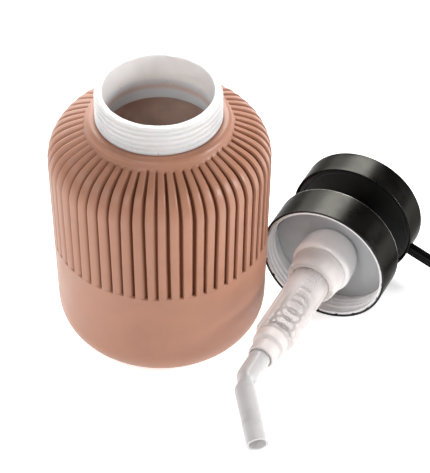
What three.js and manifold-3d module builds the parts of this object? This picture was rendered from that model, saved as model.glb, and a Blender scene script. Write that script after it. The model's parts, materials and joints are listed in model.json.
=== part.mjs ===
// Soap pump dispenser: a ribbed bottle with a wide threaded neck, and its pump unit laid beside it.
// Millimetres, +Z up. The origin is the centre of the bottle's foot, on the surface it stands on.
import * as THREE from 'three';
import { mergeVertices } from 'three/addons/utils/BufferGeometryUtils.js';
import Module from 'manifold-3d';

const wasm = await Module();
wasm.setup();

// ---- Driving dimensions ------------------------------------------------------------------------
const gap = 0.3;                 // clearance between pieces that touch
const fineGap = 0.1;             // running clearance of the piston and of the balls on their seats
const ease = 0.4;                // eased corners

const neckRoot = 24.6;           // radius of the insert between its threads
const threadDepth = 0.9;
const threadPitch = 2.5;
const threadTurns = 3;
const threadRoom = 0.25;         // between the neck's crests and the liner
const crestFoot = 0.9;           // half widths of a crest
const crestTip = 0.35;
const neckHeight = 12.9;         // insert above its seat
const insertWall = 2.4;
const skirtWall = 1.3;
const insertSkirt = 8.4;         // insert below its seat

const shoulderRadius = 45;       // bottle, widest, just under the rounded shoulder
const taper = 2;                 // how much narrower it is where the wall meets the rounded foot
const shoulderHeight = 101.8;    // top of the rounded shoulder
const crownRise = 6.1;           // from there to the flat ring that the threaded insert stands on
const seatWidth = 2;             // flat ring outside the threads
const crownWidth = 8;            // from the insert's root to the shoulder's bend
const shoulderDrop = 14.5;       // height of the shoulder's bend
const footRound = 17.5;          // radius of the rounded foot
const wall = 4.5;                // resin wall
const floorThickness = 5.5;
const ribCount = 56;
const grooveDepth = 1.5;
const grooveEnd = 0.5;           // length of a groove's sloping end
const ribbedFrom = 49;           // height where the grooves end
const crownMargin = 1.1;         // from the shoulder's bend to the grooves' upper ends

const padMargin = 1.5;           // from the pad's edge to the rounded foot
const padThickness = 1.2;
const padShowing = 0.5;          // how far the pad stands below the resin

const collarHeight = 15.8;
const shellWall = 0.6;           // drawn metal of the collar and of the head
const linerWall = 0.85;
const linerSet = 0.4;            // liner's lip inside the collar's lip
const plate = 1;                 // flat walls of the liner and of the ball cage
const washerThickness = 0.8;

const cylinderBore = 7;
const cylinderWall = 1.2;
const cylinderTop = 0.6;         // cylinder's mouth above the collar's lip
const cylinderEnd = 48;          // depth of the full cylinder below the collar's lip
const chamberLength = 7.6;
const chamberStep = 1.5;         // taper between the cylinder and its ball chamber
const socketLength = 6.2;
const seatSlope = 3.5;           // height of the ball's conical seat
const seatFloor = 0.6;

const domeOverhang = 3.2;        // dome outside the cap's neck
const domeDrop = 3;              // cap below the collar's lip
const domeRound = 2.2;           // rounding of its lower edge
const chimneyWall = 1.3;         // cap's neck, which the collar turns on
const snapReach = 1.1;           // barb that holds the collar
const ringHeight = 9.6;          // retaining ring under the cap
const ringWall = 3.4;

const tubeRadius = 4.4;
const tubeWall = 0.9;
const tubeStraight = 18;
const tubeTail = 26;
const tubeBend = 38;             // degrees, set in the tube's free end
const tubeBendRadius = 9;

const stroke = 13;
const strokeRoom = 1.9;          // left between the collar and the head's rim, pump down
const stemRadius = 3.8;
const stemBore = 1.9;
const guideTop = 2.2;
const rodFlange = -24;           // underside of the flange that the spring pushes, pump up
const flangeHeight = 1.3;
const rodNose = 2.4;             // rod below its flange
const noseRadius = 2.6;
const pistonHeight = 7;
const ballRadius = 2.4;
const outletBallRadius = 2.3;
const outletRoom = 0.7;
const springRadius = 4.9;
const springWire = 0.55;
const springTurns = 5;

const headStep = 0.6;            // head's radius, less than the collar's
const headHeight = 12.3;
const coreRecess = 1;
const stemInHead = 3.3;          // stem above the head's rim
const sleeveSlack = 0.9;         // sleeve inside the cap's neck as it goes down
const spoutRadius = 2.5;
const spoutWall = 0.8;
const spoutRoot = 9;             // from the pump's axis to the spout's hidden end
const spoutReach = 66;           // from the pump's axis to the spout's tip
const spoutSet = 4.8;            // spout's axis above the head's rim

const restY = 1.4;               // where the collar's lip is centred as the unit lies
const restYaw = 25.5;            // degrees, unit's axis turned from the Y axis
const restClearance = 0.84;      // between the collar's lip and the bottle
const tipClearance = 1.35;       // between the spout's tip and the surface

// ---- Widths worked out from them ------------------------------------------------------------------
const crestRadius = neckRoot + threadDepth;
const linerRoot = crestRadius + threadRoom;
const linerOuter = linerRoot + linerWall;
const collarRadius = linerOuter + gap + shellWall;
const headRadius = collarRadius - headStep;
const insertBore = neckRoot - insertWall;
const crownRadius = neckRoot + crownWidth;
const seatHeight = shoulderHeight + crownRise;
const shoulderReach = shoulderRadius - crownRadius;
const ribbedTo = crownRadius - crownMargin;
const baseRadius = shoulderRadius - taper;
const padRadius = baseRadius - footRound - padMargin;
const cylinderRadius = cylinderBore + cylinderWall;
const chamberRadius = cylinderBore - 0.2;
const chamberBore = chamberRadius - cylinderWall;
const chimneyBore = cylinderRadius + gap;
const chimneyRadius = chimneyBore + chimneyWall;
const collarHole = chimneyBore + 0.5;
const domeRadius = chimneyRadius + domeOverhang;
const ringRadius = cylinderRadius + ringWall;
const sleeveRadius = chimneyBore - sleeveSlack;
const tubeBore = tubeRadius - tubeWall;
const socketRadius = tubeRadius + gap + 0.8;
const spoutBore = spoutRadius - spoutWall;

// ---- Levels worked out from them, measured up the pump's own axis from the collar's lip ----------
const plateTop = collarHeight - shellWall;
const linerTop = plateTop - gap;
const snapTop = linerTop;
const snapBottom = snapTop - 1;
const linerPlateTop = snapBottom - gap;
const linerPlateBottom = linerPlateTop - plate;
const washerTop = linerPlateBottom - gap;
const washerBottom = washerTop - washerThickness;
const headRim = collarHeight + stroke + strokeRoom;
const headTop = headRim + headHeight;
const spoutLevel = headRim + spoutSet;
const coreBottom = headRim + coreRecess;
const coreTop = headTop - shellWall - gap;
const stemTop = headRim + stemInHead;
const chamberStart = -cylinderEnd - chamberStep;
const chamberEnd = -cylinderEnd - chamberLength;
const socketEnd = chamberEnd - socketLength;
const seatBottom = chamberEnd + cylinderWall;
const cageBottom = chamberStart + gap;
const springBottom = cageBottom + plate + gap + springWire;
const springTop = rodFlange - gap - springWire;
const pistonBottom = rodFlange + flangeHeight + gap;
const pistonTop = pistonBottom + pistonHeight;
const rodTop = pistonTop + gap;

// ---- Helpers --------------------------------------------------------------------------------------

/** A solid of revolution about Z. The outline holds [radius, height] pairs, anticlockwise. */
function lathe(outline, segments = 32) {
  const points = outline.map(([r, z]) => new THREE.Vector2(r, z));
  const geometry = new THREE.LatheGeometry(points, segments);
  geometry.rotateX(Math.PI / 2);
  return geometry;
}

/** A ring of revolution about Z: the outline is closed on itself. */
function ring(outline, segments = 32) {
  return lathe([...outline, outline[0]], segments);
}

/** A plain tube or washer about Z. */
function tube(outer, inner, bottom, top, segments = 32) {
  return ring([[inner, bottom], [outer, bottom], [outer, top], [inner, top]], segments);
}

/** Points on an ellipse's arc, from one angle to another, in degrees. */
function arc(cr, cz, rr, rz, from, to, steps) {
  const points = [];
  for (let i = 0; i <= steps; i += 1) {
    const angle = THREE.MathUtils.degToRad(from + ((to - from) * i) / steps);
    points.push([cr + rr * Math.cos(angle), cz + rz * Math.sin(angle)]);
  }
  return points;
}

/** A closed geometry as a solid that can be cut. */
function solid(geometry) {
  geometry.deleteAttribute('normal');
  geometry.deleteAttribute('uv');
  const merged = mergeVertices(geometry, 1e-4);
  return new wasm.Manifold(new wasm.Mesh({
    numProp: 3,
    vertProperties: new Float32Array(merged.attributes.position.array),
    triVerts: new Uint32Array(merged.index.array),
  }));
}

/** The geometry of a base with every tool cut from it. */
function cut(base, ...tools) {
  const result = tools.reduce((body, tool) => body.subtract(solid(tool)), solid(base));
  const mesh = result.getMesh();
  const geometry = new THREE.BufferGeometry();
  geometry.setAttribute('position', new THREE.BufferAttribute(mesh.vertProperties, 3));
  geometry.setIndex(new THREE.BufferAttribute(mesh.triVerts, 1));
  geometry.computeVertexNormals();
  return geometry;
}

/** A round bar about X, from one distance to another, at the spout's level. */
function barAlongSpout(radius, from, to, segments = 20) {
  const bar = lathe([[0, from], [radius, from], [radius, to], [0, to]], segments);
  bar.rotateY(Math.PI / 2);
  bar.translate(0, 0, spoutLevel);
  return bar;
}

/** A named mesh in its own material. */
function piece(name, geometry, color, roughness, metalness = 0, opacity = 1) {
  const material = new THREE.MeshStandardMaterial({
    color, roughness, metalness, opacity, transparent: opacity < 1,
  });
  const mesh = new THREE.Mesh(geometry, material);
  mesh.name = name;
  return mesh;
}

// ---- Bottle ---------------------------------------------------------------------------------------

/** Radius of the outer wall at a height between the foot and the shoulder's bend. */
function wallRadius(z) {
  const low = padShowing + footRound;
  const high = shoulderHeight - shoulderDrop;
  return baseRadius + ((shoulderRadius - baseRadius) * (z - low)) / (high - low);
}

/** Height of the crown, which rises from the shoulder to the insert's seat. */
function crownHeight(r) {
  const share = (crownRadius - r) / (crownRadius - crestRadius - seatWidth);
  return shoulderHeight + (seatHeight - shoulderHeight) * share;
}

/** The bottle's outer outline. Grooved points lie deeper on every other segment. */
function outerOutline(deep) {
  const bendHeight = shoulderHeight - shoulderDrop;
  const reach = shoulderReach - deep;
  const drop = shoulderDrop - deep;
  return [
    ...arc(baseRadius - footRound, padShowing + footRound, footRound, footRound, -90, 0, 4),
    [wallRadius(ribbedFrom), ribbedFrom],
    [wallRadius(ribbedFrom) - deep, ribbedFrom + grooveEnd],
    ...arc(crownRadius, bendHeight, reach, drop, 0, 90, 4),
    [ribbedTo + grooveEnd, crownHeight(ribbedTo + grooveEnd) - deep],
    [ribbedTo, crownHeight(ribbedTo)],
    [crestRadius + seatWidth, seatHeight],
  ];
}

function bottleShell() {
  const bore = insertBore + skirtWall + gap;
  const recess = padRadius + gap;
  const inner = [
    [bore, seatHeight],
    [bore, shoulderHeight - 0.5],
    [crownRadius - 1, shoulderHeight - wall - 1],
    [shoulderRadius - wall, shoulderHeight - shoulderDrop - 1],
    [baseRadius - wall, footRound + 2],
    [baseRadius - wall - 8, padShowing + floorThickness + 1.5],
    [0, padShowing + floorThickness],
  ];
  const foot = [
    [0, padThickness + gap],
    [recess, padThickness + gap],
    [recess, padShowing],
  ];
  const plain = [...foot, ...outerOutline(0), ...inner];
  const deep = [...foot, ...outerOutline(grooveDepth), ...inner];
  const geometry = lathe(plain, 2 * ribCount);
  const grooved = lathe(deep, 2 * ribCount);
  const position = geometry.attributes.position;
  for (let segment = 1; segment < 2 * ribCount; segment += 2) {
    for (let row = 0; row < plain.length; row += 1) {
      const index = segment * plain.length + row;
      position.setXYZ(
        index,
        grooved.attributes.position.getX(index),
        grooved.attributes.position.getY(index),
        grooved.attributes.position.getZ(index),
      );
    }
  }
  return piece('bottle_shell', geometry, 0xc48a70, 0.75);
}

/** Crests of a thread, as [radius, height] pairs, going up an outer wall. */
function crests(root, depth, first) {
  const points = [];
  for (let turn = 0; turn < threadTurns; turn += 1) {
    const middle = first + turn * threadPitch;
    points.push([root, middle - crestFoot], [root + depth, middle - crestTip]);
    points.push([root + depth, middle + crestTip], [root, middle + crestFoot]);
  }
  return points;
}

function neckInsert() {
  const skirt = insertBore + skirtWall;
  const bottom = seatHeight + gap;
  const top = seatHeight + neckHeight;
  const firstCrest = top - threadTurns * threadPitch - ease;
  const outline = [
    [insertBore, seatHeight - insertSkirt],
    [skirt, seatHeight - insertSkirt],
    [skirt, bottom],
    [crestRadius, bottom],
    [crestRadius, bottom + crestFoot],
    [neckRoot, bottom + crestFoot + ease],
    ...crests(neckRoot, threadDepth, firstCrest),
    [neckRoot, top - ease],
    [neckRoot - ease, top],
    [insertBore + ease, top],
    [insertBore, top - ease],
  ];
  return piece('neck_insert', ring(outline, 36), 0xe9e7e5, 0.35, 0, 0.85);
}

function basePad() {
  const geometry = lathe([[0, 0], [padRadius, 0], [padRadius, padThickness], [0, padThickness]], 36);
  return piece('base_pad', geometry, 0x2b2a29, 0.9);
}

// ---- Collar ---------------------------------------------------------------------------------------

function collarShell() {
  const inner = collarRadius - shellWall;
  const outline = [
    [inner, 0],
    [collarRadius - ease / 2, 0],
    [collarRadius, ease],
    [collarRadius, collarHeight - ease],
    [collarRadius - ease, collarHeight],
    [collarHole, collarHeight],
    [collarHole, plateTop],
    [inner, plateTop],
  ];
  return piece('collar_shell', ring(outline, 40), 0x1b1b1a, 0.35, 0.9);
}

function collarLiner() {
  const hole = chimneyRadius + gap;
  const barbRoom = chimneyRadius + snapReach + 2 * gap;
  const threads = crests(linerRoot, -threadDepth, threadPitch + 2 * ease).reverse();
  const outline = [
    [linerRoot, linerSet],
    [linerOuter, linerSet],
    [linerOuter, linerTop],
    [barbRoom, linerTop],
    [barbRoom, linerPlateTop],
    [hole, linerPlateTop],
    [hole, linerPlateBottom],
    [linerRoot, linerPlateBottom],
    ...threads,
  ];
  return piece('collar_liner', ring(outline, 36), 0xdedddb, 0.4);
}

function sealingWasher() {
  const geometry = tube(linerRoot - gap, chimneyRadius + gap, washerBottom, washerTop, 36);
  return piece('sealing_washer', geometry, 0xb9babb, 0.7);
}

// ---- Housing --------------------------------------------------------------------------------------

function housingCap() {
  const bellTop = washerBottom - gap;
  const roundRadius = domeRadius - domeRound;
  const outline = [
    [chimneyBore, -domeDrop],
    ...arc(roundRadius, domeRound - domeDrop, domeRound, domeRound, -90, 0, 3),
    ...arc(chimneyRadius, 0, domeOverhang, bellTop, 0, 80, 5),
    [chimneyRadius, bellTop + ease],
    [chimneyRadius, snapBottom],
    [chimneyRadius + snapReach, snapBottom],
    [chimneyRadius + snapReach / 2, snapTop],
    [chimneyBore, snapTop],
  ];
  return piece('housing_cap', ring(outline, 28), 0xf1f0ee, 0.2);
}

/** Bush that the stem slides in. It stands on the cylinder's mouth, inside the cap. */
function stemGuide() {
  const outline = [
    [stemRadius + gap, 1 - domeDrop],
    [cylinderBore - gap, 1 - domeDrop],
    [cylinderBore - gap, cylinderTop + gap],
    [cylinderRadius, cylinderTop + gap],
    [cylinderRadius, guideTop],
    [stemRadius + gap, guideTop],
  ];
  return piece('stem_guide', ring(outline, 24), 0xe6e6e4, 0.35);
}

function housingRing() {
  const top = -domeDrop - gap;
  const outline = [
    [chimneyBore, top - ringHeight],
    [ringRadius - 1, top - ringHeight],
    [ringRadius, top - ringHeight / 4],
    [ringRadius, top],
    [chimneyBore, top],
  ];
  return piece('housing_ring', ring(outline, 32), 0xe3dcd9, 0.3, 0, 0.75);
}

function pumpCylinder() {
  const socketTop = chamberEnd - seatFloor;
  const outline = [
    [tubeRadius + gap, socketEnd],
    [socketRadius, socketEnd],
    [socketRadius, chamberEnd],
    [chamberRadius, chamberEnd + 2 * ease],
    [chamberRadius, chamberStart],
    [cylinderRadius, -cylinderEnd],
    [cylinderRadius, cylinderTop],
    [cylinderBore, cylinderTop],
    [cylinderBore, chamberStart],
    [chamberBore, chamberStart],
    [chamberBore, seatBottom + seatSlope],
    [stemBore, seatBottom],
    [stemBore, socketTop],
    [tubeRadius + gap, socketTop],
  ];
  return piece('pump_cylinder', ring(outline, 28), 0xe2dedc, 0.25, 0, 0.6);
}

/** Perforated disc that stops the inlet ball and carries the spring's foot. */
function ballCage() {
  const geometry = tube(cylinderBore - gap, 1.4, cageBottom, cageBottom + plate, 24);
  return piece('ball_cage', geometry, 0xe8e8e6, 0.35);
}

function dipTube() {
  const start = chamberEnd - seatFloor - gap;
  const bend = THREE.MathUtils.degToRad(tubeBend);
  const path = new THREE.CurvePath();
  const top = new THREE.Vector3(0, 0, start);
  const elbow = new THREE.Vector3(0, 0, start - tubeStraight);
  const leg = tubeBendRadius * Math.tan(bend / 2);
  const after = new THREE.Vector3(
    leg * Math.sin(bend), 0, elbow.z - leg - leg * Math.cos(bend),
  );
  const corner = new THREE.Vector3(0, 0, elbow.z - leg);
  const end = new THREE.Vector3(
    after.x + tubeTail * Math.sin(bend), 0, after.z - tubeTail * Math.cos(bend),
  );
  path.add(new THREE.LineCurve3(top, elbow));
  path.add(new THREE.QuadraticBezierCurve3(elbow, corner, after));
  path.add(new THREE.LineCurve3(after, end));
  const section = new THREE.Shape().absarc(0, 0, tubeRadius, 0, 2 * Math.PI);
  section.holes.push(new THREE.Path().absarc(0, 0, tubeBore, 0, 2 * Math.PI, true));
  const geometry = new THREE.ExtrudeGeometry(section, {
    steps: 12, curveSegments: 7, extrudePath: path, bevelEnabled: false,
  });
  return piece('dip_tube', geometry, 0xe6e3e1, 0.25, 0, 0.6);
}

/** Helix of the return spring. */
class Helix extends THREE.Curve {
  constructor(radius, turns, bottom, top) {
    super();
    Object.assign(this, { radius, turns, bottom, top });
  }

  getPoint(t, target = new THREE.Vector3()) {
    const angle = 2 * Math.PI * this.turns * t;
    const height = this.bottom + (this.top - this.bottom) * t;
    return target.set(this.radius * Math.cos(angle), this.radius * Math.sin(angle), height);
  }
}

function returnSpring() {
  const helix = new Helix(springRadius, springTurns, springBottom, springTop);
  const section = new THREE.Shape().absarc(0, 0, springWire, 0, 2 * Math.PI);
  const geometry = new THREE.ExtrudeGeometry(section, {
    steps: 9 * springTurns, curveSegments: 3, extrudePath: helix, bevelEnabled: false,
  });
  return piece('return_spring', geometry, 0x8d8f90, 0.3, 0.9);
}

function inletBall() {
  const slope = new THREE.Vector2(chamberBore - stemBore, seatSlope);
  const reach = (ballRadius + fineGap) * slope.length() - stemBore * slope.y;
  const level = seatBottom + reach / slope.x;
  const geometry = new THREE.SphereGeometry(ballRadius, 16, 10);
  geometry.rotateX(Math.PI / 2);
  geometry.translate(0, 0, level);
  return piece('inlet_ball', geometry, 0xc9cccd, 0.2, 0.8);
}

// ---- Plunger --------------------------------------------------------------------------------------

function piston() {
  const seal = cylinderBore - fineGap;
  const lipHeight = 1.6;
  const outline = [
    [stemRadius + gap, pistonBottom],
    [seal - 0.9, pistonBottom + lipHeight / 2],
    [seal, pistonBottom],
    [seal, pistonBottom + lipHeight],
    [seal - 1, pistonBottom + lipHeight + 1],
    [seal - 1, pistonTop - lipHeight - 1],
    [seal, pistonTop - lipHeight],
    [seal, pistonTop],
    [stemRadius + gap, pistonTop],
  ];
  return piece('piston', ring(outline, 28), 0xd9dadb, 0.45);
}

function pistonRod() {
  const flangeRadius = cylinderBore - 1.1;
  const outline = [
    [0, rodFlange - rodNose],
    [noseRadius, rodFlange - rodNose],
    [noseRadius + ease, rodFlange],
    [flangeRadius, rodFlange],
    [flangeRadius, rodFlange + flangeHeight],
    [stemRadius, rodFlange + flangeHeight],
    [stemRadius, rodTop],
    [0, rodTop],
  ];
  return piece('piston_rod', lathe(outline, 24), 0xeceae8, 0.35);
}

// ---- Head -----------------------------------------------------------------------------------------

function stem() {
  const geometry = tube(stemRadius, stemBore, rodTop + gap, stemTop, 24);
  return piece('stem', geometry, 0xeeedeb, 0.3);
}

function outletBall() {
  const rise = Math.sqrt((outletBallRadius + fineGap) ** 2 - stemBore ** 2);
  const geometry = new THREE.SphereGeometry(outletBallRadius, 14, 8);
  geometry.rotateX(Math.PI / 2);
  geometry.translate(0, 0, stemTop + rise);
  return piece('outlet_ball', geometry, 0xc9cccd, 0.2, 0.8);
}

function stemSleeve() {
  const outline = [
    [stemRadius + gap, collarHeight + gap],
    [sleeveRadius - ease, collarHeight + gap],
    [sleeveRadius, collarHeight + gap + ease],
    [sleeveRadius, coreBottom - gap],
    [stemRadius + gap, coreBottom - gap],
  ];
  return piece('stem_sleeve', ring(outline, 32), 0x101010, 0.4);
}

function headShell() {
  const inner = headRadius - shellWall;
  const outline = [
    [inner, headRim],
    [headRadius, headRim],
    [headRadius, headTop - ease],
    [headRadius - ease, headTop],
    [0, headTop],
    [0, headTop - shellWall],
    [inner, headTop - shellWall],
    [inner, headRim],
  ];
  const hole = barAlongSpout(spoutRadius + gap, headRadius - 4, headRadius + 4);
  return piece('head_shell', cut(lathe(outline, 40), hole), 0x1b1b1a, 0.35, 0.9);
}

function headCore() {
  const radius = headRadius - shellWall - gap;
  const ballRoom = outletBallRadius + outletRoom;
  const body = lathe([
    [0, coreBottom], [radius, coreBottom], [radius, coreTop], [0, coreTop],
  ], 40);
  const stemHole = lathe([
    [0, coreBottom - 1], [stemRadius + gap, coreBottom - 1],
    [stemRadius + gap, stemTop + gap], [0, stemTop + gap],
  ], 24);
  const chamber = lathe([
    [0, stemTop], [ballRoom, stemTop], [ballRoom, coreTop - plate], [0, coreTop - plate],
  ], 24);
  const channel = barAlongSpout(spoutBore, 0, spoutRoot + 1, 16);
  const socket = barAlongSpout(spoutRadius + gap, spoutRoot - gap, radius + 2);
  return piece('head_core', cut(body, stemHole, chamber, channel, socket), 0x0e0e0e, 0.45);
}

function spoutTube() {
  const outline = [
    [spoutBore, spoutRoot],
    [spoutRadius, spoutRoot],
    [spoutRadius, spoutReach - ease],
    [spoutRadius - ease, spoutReach],
    [spoutBore, spoutReach],
  ];
  const geometry = ring(outline, 20);
  geometry.rotateY(Math.PI / 2);
  geometry.translate(0, 0, spoutLevel);
  return piece('spout_tube', geometry, 0x141414, 0.35, 0.8);
}

// ---- Assembly -------------------------------------------------------------------------------------

const bottle = new THREE.Group();
bottle.add(bottleShell(), neckInsert(), basePad());

// The unit lies on the collar's and the head's rims: its axis is level, at the collar's radius.
// It is turned about that axis until the spout's tip comes down almost to the surface.
const yaw = THREE.MathUtils.degToRad(restYaw);
const roll = Math.asin((collarRadius - spoutRadius - tipClearance) / spoutReach);
const lipY = restY + collarRadius * Math.sin(yaw);
const lipX = Math.sqrt((wallRadius(collarRadius) + restClearance) ** 2 - lipY ** 2);
const restX = lipX + collarRadius * Math.cos(yaw);
const towardHead = new THREE.Vector3(Math.sin(yaw), Math.cos(yaw), 0);
const towardSpout = new THREE.Vector3(
  Math.cos(yaw) * Math.cos(roll), -Math.sin(yaw) * Math.cos(roll), -Math.sin(roll),
);
const across = new THREE.Vector3().crossVectors(towardHead, towardSpout);

const pump = new THREE.Group();
pump.quaternion.setFromRotationMatrix(
  new THREE.Matrix4().makeBasis(towardSpout, across, towardHead),
);
pump.position.set(restX, restY, collarRadius);
pump.add(collarShell(), collarLiner(), sealingWasher());
pump.add(housingCap(), stemGuide(), housingRing(), pumpCylinder(), ballCage(), dipTube());
pump.add(returnSpring(), inletBall(), piston(), pistonRod());
pump.add(stem(), outletBall(), stemSleeve(), headCore(), headShell(), spoutTube());

const group = new THREE.Group();
group.add(bottle, pump);

export default group;
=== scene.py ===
"""Soap pump dispenser: a ribbed cast-resin bottle, open, with its pump unit laid beside it."""

import json
import logging
import math
import random
from collections.abc import Callable, Iterable, Sequence
from dataclasses import dataclass
from enum import Enum
from typing import ClassVar

import bmesh
import bpy
from mathutils import Matrix, Vector, noise


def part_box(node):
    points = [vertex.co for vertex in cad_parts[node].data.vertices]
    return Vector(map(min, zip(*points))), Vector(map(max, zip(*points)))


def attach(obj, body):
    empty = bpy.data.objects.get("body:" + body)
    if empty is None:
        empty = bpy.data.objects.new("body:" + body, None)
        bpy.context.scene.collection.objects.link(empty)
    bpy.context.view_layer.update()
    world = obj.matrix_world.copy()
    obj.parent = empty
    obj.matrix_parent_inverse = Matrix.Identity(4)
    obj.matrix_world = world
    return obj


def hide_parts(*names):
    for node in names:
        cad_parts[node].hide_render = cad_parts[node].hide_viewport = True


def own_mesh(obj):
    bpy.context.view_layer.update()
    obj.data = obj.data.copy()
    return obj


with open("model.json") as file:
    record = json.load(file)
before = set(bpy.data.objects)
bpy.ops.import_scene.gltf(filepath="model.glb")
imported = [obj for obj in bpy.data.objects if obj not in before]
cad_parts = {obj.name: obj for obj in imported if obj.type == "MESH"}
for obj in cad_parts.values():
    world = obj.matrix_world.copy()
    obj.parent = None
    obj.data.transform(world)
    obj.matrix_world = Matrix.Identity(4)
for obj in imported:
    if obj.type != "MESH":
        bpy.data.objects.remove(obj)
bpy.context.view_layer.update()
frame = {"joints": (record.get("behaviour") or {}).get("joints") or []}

LOG = logging.getLogger("soap_dispenser")
MM = 0.001
GAP = 0.3
POLE = 1e-6
SHARP = 38.0
Outline = list[tuple[float, ...]]
# (angle, radius, height) to the new (radius, height)
Shift = Callable[[float, float, float], tuple[float, float]]


# ---- Small maths ---------------------------------------------------------------------------------

def smooth(low: float, high: float, value: float) -> float:
    """Smooth step.

    Args:
        low: Value where the step starts.
        high: Value where the step ends.
        value: Where to read it.

    Returns:
        0 below low, 1 above high and a soft curve between them.
    """
    t = min(max((value - low) / (high - low), 0.0), 1.0)
    return t * t * (3 - 2 * t)


def polar(radius: float, angle: float, height: float) -> Vector:
    """The point at that radius and height, in millimetres, and angle in radians, in metres."""
    return Vector((radius * math.cos(angle), radius * math.sin(angle), height)) * MM


def arc(centre: tuple[float, float], radii: tuple[float, float], turn: tuple[float, float],
        steps: int) -> Outline:
    """Points along an ellipse's arc.

    Args:
        centre: Radius and height of the arc's centre.
        radii: Half widths along the radius and the height.
        turn: First and last angle in degrees.
        steps: Number of stretches.

    Returns:
        The points, as (radius, height) pairs.
    """
    points: Outline = []
    for index in range(steps + 1):
        angle = math.radians(turn[0] + (turn[1] - turn[0]) * index / steps)
        points.append((centre[0] + radii[0] * math.cos(angle), centre[1] + radii[1] * math.sin(angle)))
    return points


def rounded(outline: Sequence[tuple[float, ...]], closed: bool = True, steps: int = 4) -> Outline:
    """Rounds the corners of an outline.

    Args:
        outline: (radius, height) or (radius, height, fillet) points.
        closed: True if the last point joins the first.
        steps: Stretches in each rounded corner.

    Returns:
        The outline with an arc in place of each corner that has a fillet.
    """
    result: Outline = []
    count = len(outline)
    for index, item in enumerate(outline):
        here = Vector(item[:2])
        fillet = item[2] if len(item) > 2 else 0.0
        inside = closed or 0 < index < count - 1
        before = Vector(outline[index - 1][:2]) - here
        after = Vector(outline[(index + 1) % count][:2]) - here
        if not fillet or not inside or min(before.length, after.length) < POLE:
            result.append(tuple(here))
            continue
        half = before.angle(after) / 2
        back = min(fillet / math.tan(half), 0.48 * before.length, 0.48 * after.length)
        start = here + before.normalized() * back
        end = here + after.normalized() * back
        for step in range(steps + 1):
            t = step / steps
            result.append(tuple((1 - t) ** 2 * start + 2 * t * (1 - t) * here + t * t * end))
    return result


def bush(bore: float, radius: float, low: float, high: float, eases: Sequence[float]) -> Outline:
    """Outline of a plain ring.

    Args:
        bore: Inner radius.
        radius: Outer radius.
        low: Level of its foot.
        high: Level of its top.
        eases: Fillets of its corners, from the bore's foot outwards, up and back.

    Returns:
        The rounded outline.
    """
    corners = ((bore, low), (radius, low), (radius, high), (bore, high))
    return rounded([(*corner, ease) for corner, ease in zip(corners, eases)])


def dense(outline: Outline, step: float, closed: bool = True) -> Outline:
    """Adds points so that no stretch of an outline is longer than a step.

    Args:
        outline: (radius, height) points.
        step: Longest stretch.
        closed: True if the last point joins the first.

    Returns:
        The finer outline.
    """
    result: Outline = []
    last = len(outline) if closed else len(outline) - 1
    for index in range(last):
        here = Vector(outline[index][:2])
        there = Vector(outline[(index + 1) % len(outline)][:2])
        parts = max(1, math.ceil((there - here).length / step))
        result.extend(tuple(here.lerp(there, part / parts)) for part in range(parts))
    if not closed:
        result.append(tuple(outline[-1][:2]))
    return result


def off_thread(angle: float, height: float, pitch: float) -> float:
    """How far a place is from a thread's crest.

    Args:
        angle: Radians round the axis.
        height: Its level above the thread's start.
        pitch: Rise of the thread in one turn.

    Returns:
        0 on the crest and 1 in the root.
    """
    turn = (height - pitch * angle / (2 * math.pi)) / pitch
    return abs(turn - math.floor(turn) - 0.5) * 2


# ---- Mesh making ---------------------------------------------------------------------------------

class Rows:
    """A closed skin made of rings of points, one after another."""

    def __init__(self, name: str) -> None:
        """Starts an empty skin of that name.

        Args:
            name: Name of the piece.
        """
        self.name = name
        self.mesh = bmesh.new()
        self.rings: list[list[bmesh.types.BMVert]] = []

    def ring(self, points: Iterable[Vector]) -> None:
        """Adds a ring. A ring of one point is a pole."""
        self.rings.append([self.mesh.verts.new(point) for point in points])

    def _bridge(self, low: list[bmesh.types.BMVert], high: list[bmesh.types.BMVert]) -> None:
        """Joins two rings with faces.

        Args:
            low: The first ring.
            high: The next ring.
        """
        count = max(len(low), len(high))
        for index in range(count):
            after = (index + 1) % count
            if len(low) == 1:
                self.mesh.faces.new((low[0], high[after], high[index]))
            elif len(high) == 1:
                self.mesh.faces.new((low[index], low[after], high[0]))
            else:
                self.mesh.faces.new((low[index], low[after], high[after], high[index]))

    def build(self, closed: bool, sharp: float = SHARP) -> bpy.types.Object:
        """Makes the object.

        Args:
            closed: True if the last ring joins the first.
            sharp: Edges that turn more than this, in degrees, stay crisp.

        Returns:
            The finished object, linked to the scene.
        """
        pairs = list(zip(self.rings[:-1], self.rings[1:]))
        if closed:
            pairs.append((self.rings[-1], self.rings[0]))
        for low, high in pairs:
            self._bridge(low, high)
        return finished(self.name, self.mesh, sharp)


def finished(name: str, mesh: bmesh.types.BMesh, sharp: float = SHARP) -> bpy.types.Object:
    """Turns a bmesh into a smooth-shaded object with crisp edges where it turns sharply.

    Args:
        name: Name of the piece.
        mesh: The geometry, which is freed.
        sharp: Angle in degrees above which an edge stays crisp.

    Returns:
        The object, linked to the scene.
    """
    bmesh.ops.recalc_face_normals(mesh, faces=mesh.faces)
    for face in mesh.faces:
        face.smooth = True
    limit = math.radians(sharp)
    for edge in mesh.edges:
        if len(edge.link_faces) == 2 and edge.calc_face_angle(0.0) > limit:
            edge.smooth = False
    data = bpy.data.meshes.new(name)
    mesh.to_mesh(data)
    mesh.free()
    piece = bpy.data.objects.new(name, data)
    bpy.context.scene.collection.objects.link(piece)
    return piece


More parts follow.
